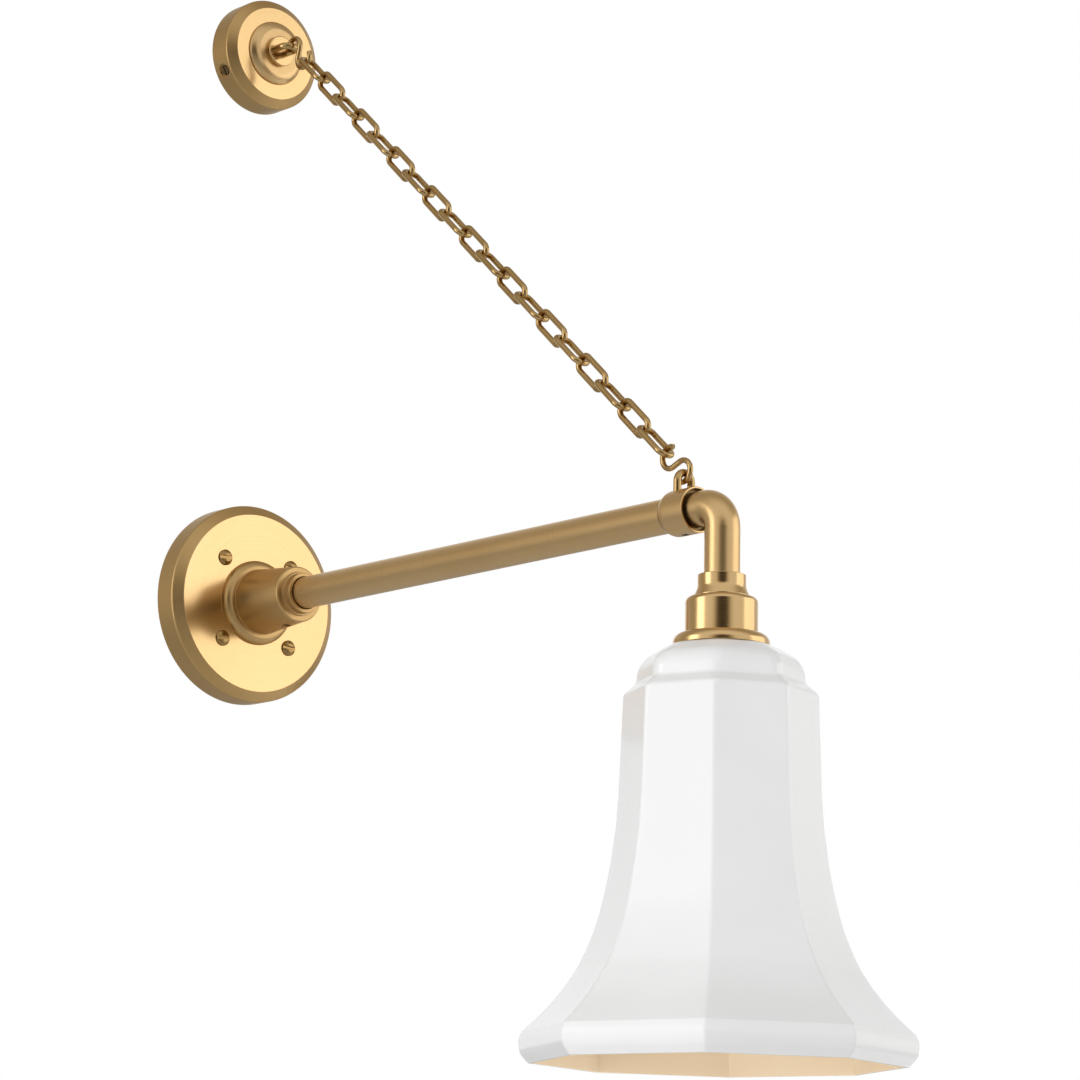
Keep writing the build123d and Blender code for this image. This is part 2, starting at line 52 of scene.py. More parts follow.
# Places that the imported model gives
upperHeight = middle("canopy").z
shadeAxis = Vector((0, middle("holder_shell").y, 0))
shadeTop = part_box("glass_shade")[1][2]
firstLink = middle("chain_link_01")
lastLink = middle("chain_link_19")
sideways = Vector((1, 0, 0))
outwards = Vector((0, -1, 0))
upwards = Vector((0, 0, 1))
chainRun = (lastLink - firstLink).normalized()
chainUp = sideways.cross(chainRun)


# Shader wiring

class Signal:
    # wraps an output socket so that sums on it add Math nodes
    def __init__(self, finish, socket):
        self.finish = finish
        self.socket = socket

    def sum(self, operation, first, second):
        return self.finish.add("ShaderNodeMath", {"operation": operation}, {0: first, 1: second})

    def __add__(self, other):
        return self.sum("ADD", self, other)

    def __radd__(self, other):
        return self.sum("ADD", other, self)

    def __rsub__(self, other):
        return self.sum("SUBTRACT", other, self)

    def __mul__(self, other):
        return self.sum("MULTIPLY", self, other)


class Finish:
    # one material and its nodes
    def __init__(self, name=None, tree=None):
        if name:
            self.material = bpy.data.materials.new(name)
            self.material.use_nodes = True
            tree = self.material.node_tree
        self.tree = tree
        self.tree.nodes.clear()

    def add(self, kind, settings=None, inputs=None, output=0):
        node = self.tree.nodes.new(kind)
        for key, value in (settings or {}).items():
            if key == "stops":
                while len(node.color_ramp.elements) < len(value):
                    node.color_ramp.elements.new(0.5)
                for element, (place, shade) in zip(node.color_ramp.elements, value):
                    element.position = place
                    element.color = shade if len(shade) == 4 else (*shade, 1)
            else:
                setattr(node, key, value)
        for key, value in (inputs or {}).items():
            if isinstance(value, Signal):
                self.tree.links.new(value.socket, node.inputs[key])
            else:
                node.inputs[key].default_value = value
        return Signal(self, node.outputs[output]) if node.outputs else None

    def place(self):
        return self.add("ShaderNodeTexCoord", output="Object")

    def noise(self, where, scale, detail=3.0, roughness=0.5):
        return self.add("ShaderNodeTexNoise", None,
                        {"Vector": where, "Scale": scale, "Detail": detail, "Roughness": roughness})

    def spread(self, value, low, high):
        # noise stays near the middle, so this stretches it to 0..1
        return self.add("ShaderNodeMapRange", {"clamp": True},
                        {"Value": value, "From Min": low, "From Max": high})

    def mix(self, factor, first, second):
        def colour(value):
            return value if isinstance(value, Signal) else (*value, 1)
        node = self.tree.nodes.new("ShaderNodeMix")
        node.data_type = "RGBA"
        for key, value in ((0, factor), (6, colour(first)), (7, colour(second))):
            if isinstance(value, Signal):
                self.tree.links.new(value.socket, node.inputs[key])
            else:
                node.inputs[key].default_value = value
        return Signal(self, node.outputs[2])

    def vector(self, operation, first, second):
        return self.add("ShaderNodeVectorMath", {"operation": operation}, {0: first, 1: second})

    def bump(self, height, strength, distance):
        return self.add("ShaderNodeBump", None,
                        {"Height": height, "Strength": strength, "Distance": distance})

    def surface(self, **inputs):
        sockets = {key.replace("_", " "): value for key, value in inputs.items()}
        shader = self.add("ShaderNodeBsdfPrincipled", None, sockets)
        self.add("ShaderNodeOutputMaterial", None, {"Surface": shader})
        return self.material


# Materials

satinBrass = {
    "pale": (0.73, 0.505, 0.25), "deep": (0.68, 0.46, 0.215), "tarnish": (0.42, 0.25, 0.09),
    "roughness": 0.16, "brushRoughness": 0.06, "stainRoughness": 0.05, "brushTone": 0.09, "stainTone": 0.10,
    "brushScale": 1900.0, "cloudScale": 14.0, "stainScale": 120.0, "driftScale": 40.0,
    "drift": 0.0010, "bump": 0.3, "bumpDepth": 0.00001,
}


def makeSatinBrass(name, along=None, centre=(0, 0, 0), values=satinBrass):
    # turned pieces are brushed in fine rings round their axis, wire and cast pieces in every direction
    finish = Finish(name)
    place = finish.place()
    grain = place
    if along:
        fromAxis = finish.vector("SUBTRACT", place, centre)
        across = finish.vector("MULTIPLY", fromAxis, tuple(0 if part else 1 for part in along))
        radius = finish.add("ShaderNodeVectorMath", {"operation": "LENGTH"}, {0: across}, "Value")
        level = finish.add("ShaderNodeVectorMath", {"operation": "DOT_PRODUCT"},
                           {0: fromAxis, 1: along}, "Value")
        drift = finish.noise(place, values["driftScale"], detail=2.0) * values["drift"]
        grain = finish.add("ShaderNodeCombineXYZ", None, {0: radius + drift, 1: level + drift})
    brush = finish.spread(finish.noise(grain, values["brushScale"], roughness=0.6), low=0.3, high=0.7)
    cloud = finish.spread(finish.noise(place, values["cloudScale"]), low=0.3, high=0.7)
    stain = finish.spread(finish.noise(place, values["stainScale"], detail=5.0, roughness=0.65),
                          low=0.66, high=0.86)
    base = finish.mix(cloud, values["pale"], values["deep"])
    base = finish.mix(brush * values["brushTone"] + stain * values["stainTone"], base, values["tarnish"])
    rough = values["roughness"] + brush * values["brushRoughness"] + stain * values["stainRoughness"]
    return finish.surface(Base_Color=base, Metallic=1.0, Roughness=rough,
                          Normal=finish.bump(brush, values["bump"], values["bumpDepth"]))


zincCoat = {"dark": (0.50, 0.51, 0.52), "bright": (0.66, 0.66, 0.65), "spangleScale": 260.0,
            "roughness": 0.32, "spangleRoughness": 0.16}


def makeZincSteel(values=zincCoat):
    finish = Finish("zincSteel")
    spangle = finish.add("ShaderNodeTexVoronoi", {"feature": "F1"},
                         {"Vector": finish.place(), "Scale": values["spangleScale"]}, "Color")
    tone = finish.add("ShaderNodeRGBToBW", None, {"Color": spangle})
    base = finish.mix(tone, values["dark"], values["bright"])
    return finish.surface(Base_Color=base, Metallic=1.0,
                          Roughness=values["roughness"] + tone * values["spangleRoughness"])


glaze = {"pale": (0.86, 0.84, 0.79), "deep": (0.80, 0.78, 0.73), "cloudScale": 60.0, "roughness": 0.12,
         "cloudRoughness": 0.1, "bump": 0.2, "bumpDepth": 0.0001}


def makePorcelain(values=glaze):
    finish = Finish("porcelain")
    cloud = finish.spread(finish.noise(finish.place(), values["cloudScale"]), low=0.35, high=0.65)
    base = finish.mix(cloud, values["pale"], values["deep"])
    return finish.surface(Base_Color=base, Roughness=values["roughness"] + cloud * values["cloudRoughness"],
                          Normal=finish.bump(cloud, values["bump"], values["bumpDepth"]))


# the inside colours are painted warm light on the shade's inner faces; outside and veil are the glass's own
milkGlass = {"outside": (0.87, 0.87, 0.87), "veil": (0.84, 0.84, 0.84), "inside": (0.95, 0.80, 0.60),
             "insideDeep": (0.92, 0.76, 0.55), "cloudScale": 14.0, "rippleScale": 38.0, "roughness": 0.16,
             "cloudRoughness": 0.06, "bump": 0.25, "bumpDepth": 0.0006, "gloss": 0.3}


def makeMilkGlass(name, pale, deep, values=milkGlass):
    finish = Finish(name)
    place = finish.place()
    cloud = finish.spread(finish.noise(place, values["cloudScale"]), low=0.35, high=0.65)
    ripple = finish.noise(place, values["rippleScale"], detail=2.0, roughness=0.4)
    base = finish.mix(cloud, values[pale], values[deep])
    return finish.surface(Base_Color=base, Roughness=values["roughness"] + cloud * values["cloudRoughness"],
                          Normal=finish.bump(ripple, values["bump"], values["bumpDepth"]),
                          Coat_Weight=values["gloss"])


# Each finish differs from the plates' satin brass in these values alone
tubeFinish = {**satinBrass, "roughness": 0.27}
# a darker copy of the plates' brass, painted shade on bands and chamfers; the rougher finish is real
bandShadeFinish = {**satinBrass, "pale": (0.57, 0.38, 0.165), "deep": (0.51, 0.33, 0.135), "roughness": 0.37,
              "brushTone": 0.16, "bumpDepth": 0.00002}
# a darker copy of the brass for the hub, painted shade; the higher roughness is real
hubShadeFinish = {**satinBrass, "pale": (0.58, 0.385, 0.17), "deep": (0.52, 0.335, 0.14), "roughness": 0.33}
fitterFinish = {**satinBrass, "roughness": 0.19}
castFinish = {**satinBrass, "roughness": 0.29, "brushScale": 900.0, "brushTone": 0.03, "bumpDepth": 0.000004}
# a much darker copy of the brass, painted shade for mouths, bores and the sunk canopy screw
mouthShadeFinish = {**satinBrass, "pale": (0.22, 0.15, 0.07), "deep": (0.17, 0.11, 0.05), "roughness": 0.35}
chainFinish = {**satinBrass, "pale": (0.56, 0.38, 0.17), "deep": (0.47, 0.31, 0.125), "brushScale": 1100.0}
screwFinish = {**satinBrass, "pale": (0.38, 0.24, 0.09), "deep": (0.32, 0.20, 0.07)}
contactFinish = {**satinBrass, "pale": (0.66, 0.50, 0.24), "roughness": 0.18}

# Pieces turned on the arm's axis, the upper plate's axis and the shade's axis, then those without one
armTurned = {"along": (0, 1, 0)}
upperTurned = {"along": (0, 1, 0), "centre": (0, 0, upperHeight)}
shadeTurned = {"along": (0, 0, 1), "centre": tuple(shadeAxis)}
armBrass = makeSatinBrass("armBrass", **armTurned)
tubeBrass = makeSatinBrass("armTubeBrass", **armTurned, values=tubeFinish)
# the band finishes below paint shade onto the plates' sides
plateBandShade = makeSatinBrass("plateBandPaintedShade", **armTurned, values=bandShadeFinish)
hubShadeBrass = makeSatinBrass("hubBrass", **armTurned, values=hubShadeFinish)
upperBrass = makeSatinBrass("upperPlateBrass", **upperTurned)
upperBandPaintedShade = makeSatinBrass("upperBandPaintedShade", **upperTurned, values=bandShadeFinish)
bossBrass = makeSatinBrass("bossBrass", **upperTurned, values=tubeFinish)
shadeBrass = makeSatinBrass("shadeFitterBrass", **shadeTurned, values=fitterFinish)
castBrass = makeSatinBrass("castBrass", values=castFinish)
# the dark brass below is painted shade, not a finish of its own
paintedShadeBrass = makeSatinBrass("paintedShadeBrass", values=mouthShadeFinish)
chainBrass = makeSatinBrass("chainBrass", values=chainFinish)
screwBrass = makeSatinBrass("screwBrass", values=screwFinish)
contactBrass = makeSatinBrass("contactBrass", values=contactFinish)
zincSteel = makeZincSteel()
porcelain = makePorcelain()
glassOutside = makeMilkGlass("milkGlassOutside", "outside", "veil")
# painted warm light for the shade's inner faces
glassInsideGlow = makeMilkGlass("milkGlassPaintedGlow", "inside", "insideDeep")
print("materials made")


# Mesh tools

# Merge distance and slack in metres, turns in degrees, and the cosine of what looks straight out
meshWork = {"merge": 0.000004, "slack": 0.0001, "crease": 30, "arcTurn": 10, "leastArc": 3, "bowTurn": 9,
            "leastBow": 4, "holeSides": 40, "straightOut": 0.97}


def finishPiece(name, mesh, body, cadNode, materials, crease=meshWork["crease"]):
    bmesh.ops.remove_doubles(mesh, verts=mesh.verts, dist=meshWork["merge"])
    bmesh.ops.recalc_face_normals(mesh, faces=mesh.faces)
    data = bpy.data.meshes.new(name)
    mesh.to_mesh(data)
    mesh.free()
    data.polygons.foreach_set("use_smooth", [True] * len(data.polygons))
    data.set_sharp_from_angle(angle=math.radians(crease))
    for material in materials:
        data.materials.append(material)
    piece = bpy.data.objects.new(name, data)
    bpy.context.scene.collection.objects.link(piece)
    weigh = piece.modifiers.new("evenShading", "WEIGHTED_NORMAL")
    weigh.keep_sharp = True
    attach(piece, body)
    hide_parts(cadNode)
    return piece


def drawProfile(mesh, corners, across, along, foot):
    # a closed outline whose corners are (radius, along, round); each round is a bevelled vertex
    places = [foot + across * corner[0] * mm + along * corner[1] * mm for corner in corners]
    points = [mesh.verts.new(place) for place in places]
    for first, second in zip(points, points[1:] + points[:1]):
        mesh.edges.new((first, second))
    for index, corner in enumerate(corners):
        if len(corner) > 2 and corner[2] > 0:
            after = places[(index + 1) % len(places)] - places[index]
            turn = (places[index] - places[index - 1]).angle(after)
            reach = corner[2] * mm * math.tan(turn / 2)
            segments = max(meshWork["leastArc"], round(math.degrees(turn) / meshWork["arcTurn"]))
            bmesh.ops.bevel(mesh, geom=[points[index]], offset=reach, offset_type="OFFSET", affect="VERTICES",
                            segments=segments, profile=0.5, material=-1)


def turnMesh(corners, foot, along, steps=144):
    mesh = bmesh.new()
    drawProfile(mesh, corners, sideways, along, foot)
    bmesh.ops.spin(mesh, geom=mesh.verts[:] + mesh.edges[:], cent=foot, axis=along, angle=math.tau,
                   steps=steps, use_merge=True)
    return mesh


def turnPiece(name, corners, foot, along, material, steps=144):
    return finishPiece(name, turnMesh(corners, foot, along, steps), "root", name, [material])


def joinMeshes(parts):
    whole = bmesh.new()
    for part in parts:
        bmesh.ops.recalc_face_normals(part, faces=part.faces)
        data = bpy.data.meshes.new("part")
        part.to_mesh(data)
        part.free()
        whole.from_mesh(data)
        bpy.data.meshes.remove(data)
    return whole


wireEnd = {"inset": 0.12, "depth": 0.1}


def bendWire(mesh, start, heading, normal, diameter, moves, sides=20, closed=False):
    # moves are ("run", length), ("bow", radius, degrees) or ("neck", length, scale); a bow turns about the
    # normal, and open ends are domed by shares of the diameter
    frameUp = normal.normalized()
    here = start.copy()
    aim = heading.normalized()
    turnIn = Matrix((aim.cross(frameUp), frameUp, aim)).transposed().to_4x4()
    ring = bmesh.ops.create_circle(mesh, segments=sides, radius=diameter / 2 * mm,
                                   matrix=Matrix.Translation(here) @ turnIn)["verts"]
    firstRing = ring[:]
    for move in moves:
        edges = [edge for edge in mesh.edges if edge.verts[0] in ring and edge.verts[1] in ring]
        if move[0] in ("run", "neck"):
            grown = bmesh.ops.extrude_edge_only(mesh, edges=edges)["geom"]
            ring = [part for part in grown if isinstance(part, bmesh.types.BMVert)]
            bmesh.ops.translate(mesh, verts=ring, vec=aim * move[1] * mm)
            here += aim * move[1] * mm
            if move[0] == "neck":
                bmesh.ops.scale(mesh, verts=ring, vec=(move[2],) * 3, space=Matrix.Translation(-here))
        else:
            radius, angle = move[1] * mm, math.radians(move[2])
            inward = frameUp.cross(aim) * (1 if angle > 0 else -1)
            centre = here + inward * radius
            steps = max(meshWork["leastBow"], round(abs(move[2]) / meshWork["bowTurn"]))
            grown = bmesh.ops.spin(mesh, geom=ring + edges, cent=centre, axis=frameUp, angle=angle,
                                   steps=steps, use_merge=False)["geom_last"]
            ring = [part for part in grown if isinstance(part, bmesh.types.BMVert)]
            spinning = Matrix.Rotation(angle, 3, frameUp)
            here = centre + spinning @ (here - centre)
            aim = spinning @ aim
    if not closed:
        for end in (firstRing, ring):
            edges = [edge for edge in mesh.edges if edge.verts[0] in end and edge.verts[1] in end]
            face = bmesh.ops.contextual_create(mesh, geom=edges)["faces"]
            bmesh.ops.inset_region(mesh, faces=face, thickness=diameter * wireEnd["inset"] * mm,
                                   depth=diameter * wireEnd["depth"] * mm)


def carve(piece, mesh):
    # cuts the closed shapes in the mesh out of the piece, and leaves neither modifier nor cutter behind
    bmesh.ops.recalc_face_normals(mesh, faces=mesh.faces)
    data = bpy.data.meshes.new("cutter")
    mesh.to_mesh(data)
    mesh.free()
    cutter = bpy.data.objects.new("cutter", data)
    bpy.context.scene.collection.objects.link(cutter)
    shading = piece.modifiers["evenShading"]
    shading.show_viewport = False
    cut = piece.modifiers.new("hole", "BOOLEAN")
    cut.object = cutter
    cut.operation = "DIFFERENCE"
    cut.solver = "EXACT"
    solid = bpy.data.meshes.new_from_object(piece.evaluated_get(bpy.context.evaluated_depsgraph_get()))
    piece.modifiers.remove(cut)
    shading.show_viewport = True
    solid.polygons.foreach_set("use_smooth", [True] * len(solid.polygons))
    solid.set_sharp_from_angle(angle=math.radians(meshWork["crease"]))
    piece.data = solid
    bpy.data.objects.remove(cutter)


def drill(piece, place, along, diameter, depth):
    # a round hole from the place down its direction
    mesh = bmesh.new()
    turnIn = along.to_track_quat("Z", "Y").to_matrix().to_4x4()
    middlePlace = Matrix.Translation(place + along * depth / 2 * mm)
    bmesh.ops.create_cone(mesh, cap_ends=True, segments=meshWork["holeSides"], radius1=diameter / 2 * mm,
                          radius2=diameter / 2 * mm, depth=depth * mm, matrix=middlePlace @ turnIn)
    carve(piece, mesh)


def finishFaces(piece, material, chosen):
    # gives the faces that are chosen by their middle and normal a finish of their own
    piece.data.materials.append(material)
    for face in piece.data.polygons:
        if chosen(face.center, face.normal):
            face.material_index = len(piece.data.materials) - 1


def offTheFace(place, normal):
    # the bands and chamfers of a wall plate, all but what looks straight into the room; they get a darker
    # copy of the brass as painted shade
    return normal.dot(outwards) < meshWork["straightOut"]


# faces inside a mouth, which are given the dark brass as painted shade
def inMouth(radius):
    return lambda place, normal: place.xz.length < radius * mm + meshWork["slack"]


# Lower plate, hub and arm

wallFoot = Vector((0, 0, 0))
backplate = {"radius": 60.325, "face": 54.4, "band": 15.0, "depth": 19.0, "sheet": 1.6, "bore": 6.55,
             "faceRound": 1.0, "bandRound": 1.6, "rimRound": 0.3}


def plateProfile(values):
    # a pressed dish with a flat face, a chamfer and a straight band, outside first and then inside
    sheet, depth, band = values["sheet"], values["depth"], values["band"]
    radius, face, bore = values["radius"], values["face"], values["bore"]
    return [
        (bore, depth), (face, depth, values["faceRound"]), (radius, band, values["bandRound"]),
        (radius, 0, values["rimRound"]), (radius - sheet, 0),
        (radius - sheet, band - sheet / 2, values["faceRound"]),
        (face - sheet / 2, depth - sheet, values["faceRound"]), (bore, depth - sheet),
    ]


def makeBackplate(values=backplate):
    piece = turnPiece("backplate", plateProfile(values), wallFoot, outwards, material=armBrass, steps=192)
    # painted shade: band and chamfer get the darker brass
    finishFaces(piece, plateBandShade, offTheFace)


plateScrews = {"circle": 70.0, "seat": 19.0, "head": 4.8, "edge": 0.7, "high": 2.6, "shank": 2.08,
               "domeWide": 0.80, "domeHigh": 0.82, "domeRound": 3.0, "reach": 11.0, "slot": 2.0,
               "slotDeep": 1.6, "slotTurns": (-4, -3, 6, 8), "crease": 40}


def makePlateScrews(values=plateScrews):
    # round heads with a slot, each stopped at its own turn
    seat, head, high = values["seat"], values["head"], values["high"]
    step = values["circle"] / 2 * math.sqrt(0.5)
    feet = [Vector((x, 0, z)) * mm for x in (-step, step) for z in (-step, step)]
    heads = [turnMesh([
        (0, seat - values["reach"]), (values["shank"], seat - values["reach"]), (values["shank"], seat),
        (head, seat), (head, seat + values["edge"]),
        (head * values["domeWide"], seat + high * values["domeHigh"], values["domeRound"]), (0, seat + high),
    ], foot, outwards, steps=40) for foot in feet]
    screws = finishPiece("backplate_screws", joinMeshes(heads), "root", "backplate_screws", [screwBrass],
                         crease=values["crease"])
    slots = bmesh.new()
    for foot, turn in zip(feet, values["slotTurns"]):
        place = Matrix.Translation(foot + outwards * (seat + high) * mm)
        size = Matrix.Diagonal((3 * head * mm, 2 * values["slotDeep"] * mm, values["slot"] * mm, 1))
        turned = Matrix.Rotation(math.radians(turn), 4, "Y")
        bmesh.ops.create_cube(slots, size=1, matrix=place @ turned @ size)
    carve(screws, slots)


hub = {"back": 19.0, "flange": 25.8, "beadHigh": 4.9, "beadRound": 4.7, "root": 19.8, "tip": 16.75,
       "tipRound": 1.0, "body": 42.4, "ring": 13.2, "ringLong": 1.4, "neck": 12.1, "neckLong": 4.7,
       "stepRound": 0.3, "edgeRound": 0.4, "mouth": 9.95, "mouthRound": 0.2, "mouthDeep": 6.0, "grub": 31.0,
       "grubHole": 5.1, "socket": 9.575, "floor": 18.0, "nipple": 6.55, "nippleDeep": 13.5, "wireBore": 4.6}


def makeHub(values=hub):
    back = values["back"]
    crest = back + values["beadHigh"]
    body = back + values["body"]
    ring = body + values["ringLong"]
    neck = ring + values["neckLong"]
    piece = turnPiece("hub", [
        (values["nipple"], back), (values["flange"], back), (values["flange"], crest, values["beadRound"]),
        (values["root"], crest, values["stepRound"]), (values["tip"], body, values["tipRound"]),
        (values["ring"], body, values["stepRound"]), (values["ring"], ring, values["edgeRound"]),
        (values["neck"], ring, values["stepRound"]), (values["neck"], neck, values["edgeRound"]),
        (values["mouth"], neck, values["mouthRound"]),
        (values["mouth"], neck - values["mouthDeep"]), (values["socket"], neck - values["mouthDeep"]),
        (values["socket"], back + values["floor"]), (values["wireBore"], back + values["floor"]),
        (values["wireBore"], back + values["nippleDeep"]), (values["nipple"], back + values["nippleDeep"]),
    ], wallFoot, outwards, material=hubShadeBrass)
    drill(piece, outwards * (back + values["grub"]) * mm, -upwards, values["grubHole"], 2 * values["root"])
    # painted shade: the hub's mouth and bore get the dark brass
    finishFaces(piece, paintedShadeBrass, inMouth(values["mouth"]))


collar = {"back": 390.0, "front": 411.0, "radius": 12.6, "lip": 10.2, "shoulder": 2.2, "shoulderRound": 7.4,
          "edgeRound": 0.4, "mouth": 11.5, "mouthRound": 0.2, "mouthDeep": 3.0, "socket": 9.575, "grub": 9.0,
          "grubHole": 5.1}


def makeCollar(values=collar):
    back, front, radius = values["back"], values["front"], values["radius"]
    piece = turnPiece("collar", [
        (values["socket"], back), (values["lip"], back),
        (radius, back + values["shoulder"], values["shoulderRound"]),
        (radius, front, values["edgeRound"]), (values["mouth"], front, values["mouthRound"]),
        (values["mouth"], front - values["mouthDeep"]), (values["socket"], front - values["mouthDeep"]),
    ], wallFoot, outwards, material=tubeBrass)
    drill(piece, outwards * (front - values["grub"]) * mm, -upwards, values["grubHole"], 2 * radius)
    # painted shade: the collar's mouth gets the dark brass
    finishFaces(piece, paintedShadeBrass, inMouth(values["mouth"]))


armTube = {"radius": 9.525, "bore": 8.025, "start": 37.0, "end": 400.5}


def makeArmTube(values=armTube):
    turnPiece("arm_tube", [
        (values["bore"], values["start"]), (values["radius"], values["start"]),
        (values["radius"], values["end"]), (values["bore"], values["end"]),
    ], wallFoot, outwards, material=tubeBrass, steps=96)


# Cup, holder and gallery

cup = {"top": 38.2, "radius": 12.8, "topRound": 0.4, "straight": 6.8, "flareRound": 7.0, "foot": 14.7,
       "footEdge": 0.7, "footRound": 0.2, "baseRound": 0.3, "height": 12.0, "socket": 9.575, "floor": 4.2,
       "bore": 5.0}


def makeCup(values=cup):
    top = -values["top"]
    base = top - values["height"]
    turnPiece("tube_cup", [
        (values["socket"], top), (values["radius"], top, values["topRound"]),
        (values["radius"], top - values["straight"], values["flareRound"]),
        (values["foot"], base + values["footEdge"], values["footRound"]),
        (values["foot"], base, values["baseRound"]), (values["bore"], base),
        (values["bore"], base + values["floor"]), (values["socket"], base + values["floor"]),
    ], shadeAxis, upwards, material=shadeBrass)


holder = {"top": 50.2, "radius": 19.2, "height": 19.6, "round": 3.0, "sheet": 1.2, "bore": 5.0,
          "rimRound": 0.25, "lipRound": 0}
gallery = {"top": 69.8, "radius": 25.6, "height": 6.6, "round": 5.0, "sheet": 1.2, "bore": 17.6,
           "rimRound": 0.4, "lipRound": 0.3}


def makeShell(name, values):
    # a sheet shell with a flat top, a rounded shoulder and a straight skirt, open below
    top = -values["top"]
    base = top - values["height"]
    sheet, radius = values["sheet"], values["radius"]
    turnPiece(name, [
        (values["bore"], top), (radius, top, values["round"]), (radius, base, values["rimRound"]),
        (radius - sheet, base, values["lipRound"]), (radius - sheet, top - sheet, values["round"] - sheet),
        (values["bore"], top - sheet),
    ], shadeAxis, upwards, material=shadeBrass)


# Upper plate

canopy = {"radius": 34.9, "face": 29.3, "band": 15.0, "depth": 18.9, "sheet": 1.2, "bore": 3.05,
          "faceRound": 0.8, "bandRound": 1.4, "rimRound": 0.3, "sideAngle": 207.0, "sideOut": 8.5,
          "sideHole": 6.9, "sideRim": 8.8, "sideSink": 0.9, "sideOpen": 4.0}
boss = {"foot": canopy["depth"], "radius": 20.2, "lean": 0.2, "edge": 1.3, "top": 16.6, "high": 4.3,
        "bore": 3.05, "footRound": 0.2, "edgeRound": 2.4, "topRound": 5.6}
knob = {"foot": boss["foot"] + boss["high"], "radius": 9.6, "high": 3.0, "stud": 3.0, "studBack": 12.7,
        "footRound": 0.4, "edgeRound": 0.7}
upperFoot = Vector((0, 0, upperHeight))


def makeCanopy(values=canopy):
    radius = values["radius"]
    piece = turnPiece("canopy", plateProfile(values), upperFoot, outwards, material=upperBrass)
    angle = math.radians(values["sideAngle"])
    aim = sideways * math.cos(angle) + upwards * math.sin(angle)
    place = upperFoot + outwards * values["sideOut"] * mm
    drill(piece, place, aim, values["sideHole"], 2 * radius)
    sunk = place + aim * (radius - values["sideSink"]) * mm
    drill(piece, sunk, aim, values["sideRim"], values["sideOpen"])
    # painted shade: band and chamfer get the darker brass
    finishFaces(piece, upperBandPaintedShade, offTheFace)


def makeBoss(values=boss):
    foot, radius, bore = values["foot"], values["radius"], values["bore"]
    top = foot + values["high"]
    turnPiece("canopy_boss", [
        (bore, foot), (radius, foot, values["footRound"]),
        (radius - values["lean"], foot + values["edge"], values["edgeRound"]),
        (values["top"], top, values["topRound"]), (bore, top),
    ], upperFoot, outwards, material=bossBrass)


def makeKnob(values=knob):
    foot, radius, stud = values["foot"], values["radius"], values["stud"]
    front = foot + values["high"]
    turnPiece("loop_knob", [
        (0, values["studBack"]), (stud, values["studBack"]), (stud, foot),
        (radius, foot, values["footRound"]), (radius, front, values["edgeRound"]), (0, front),
    ], upperFoot, outwards, material=upperBrass)


makeBackplate()
makePlateScrews()
makeHub()
makeCollar()
makeArmTube()
makeCup()
makeShell("holder_shell", holder)
makeShell("gallery", gallery)
makeCanopy()
makeBoss()
makeKnob()
print("turned pieces made")


# Loops, hooks and chain

loop = {"wire": 4.4, "half": 5.0, "upperFoot": 24.2, "upperLeg": 8.0, "lowerFoot": 10.075, "lowerLeg": 6.525,
        "lowerOut": 400.0}
chain = {"wire": 3.2, "inner": 24.0, "spacing": 9.7, "seam": 0.93, "seamWide": 0.22}
hook = {"radius": 6.0, "centres": 13.4, "close": 15.8, "curl": 26.0, "toLink": 2.5}
linkCount = 19


def makeLoop(name, foot, heading, normal, leg, values=loop):
    # two legs and the bow between them, with both feet on a plate or sleeve
    mesh = bmesh.new()
    side = heading.cross(normal)
    bendWire(mesh, foot + side * values["half"] * mm, heading, normal, values["wire"],
             [("run", leg), ("bow", values["half"], 180), ("run", leg)], sides=28)
    finishPiece(name, mesh, "root", name, [chainBrass])


def makeLink(name, centre, normal, body, values=chain):
    # starts and ends at the butt seam in the middle of one straight side
    side = normal.cross(chainRun)
    bow = values["spacing"] / 2
    rod = values["inner"] + values["wire"] - 2 * bow
    seam = values["seamWide"]
    mesh = bmesh.new()
    bendWire(mesh, centre - side * bow * mm, chainRun, normal, values["wire"], [
        ("neck", seam / 2, 1 / values["seam"]), ("run", rod / 2 - seam / 2), ("bow", bow, 180), ("run", rod),
        ("bow", bow, 180), ("run", rod / 2 - seam / 2), ("neck", seam / 2, values["seam"]),
    ], closed=True)
    finishPiece(name, mesh, body, name, [chainBrass])


def makeHook(name, centre, turn, body, values=hook):
    # an S of two bows; turn is 1 or -1, for the side that the first bow opens to
    lean = math.acos(2 * values["radius"] / values["centres"])
    bow = math.pi + math.radians(values["close"] + values["curl"])
    startAngle = lean + bow
    normal = -sideways * turn
    side = normal.cross(chainRun)
    radial = chainRun * math.cos(startAngle) + side * math.sin(startAngle)
    tangent = -chainRun * math.sin(startAngle) + side * math.cos(startAngle)
    start = centre + radial * values["radius"] * mm
    cross = math.sqrt(values["centres"] ** 2 - (2 * values["radius"]) ** 2)
    mesh = bmesh.new()
    bendWire(mesh, start, -tangent, normal, chain["wire"], [
        ("bow", values["radius"], -math.degrees(bow)), ("run", cross),
        ("bow", values["radius"], math.degrees(bow)),
    ])
    finishPiece(name, mesh, body, name, [chainBrass])


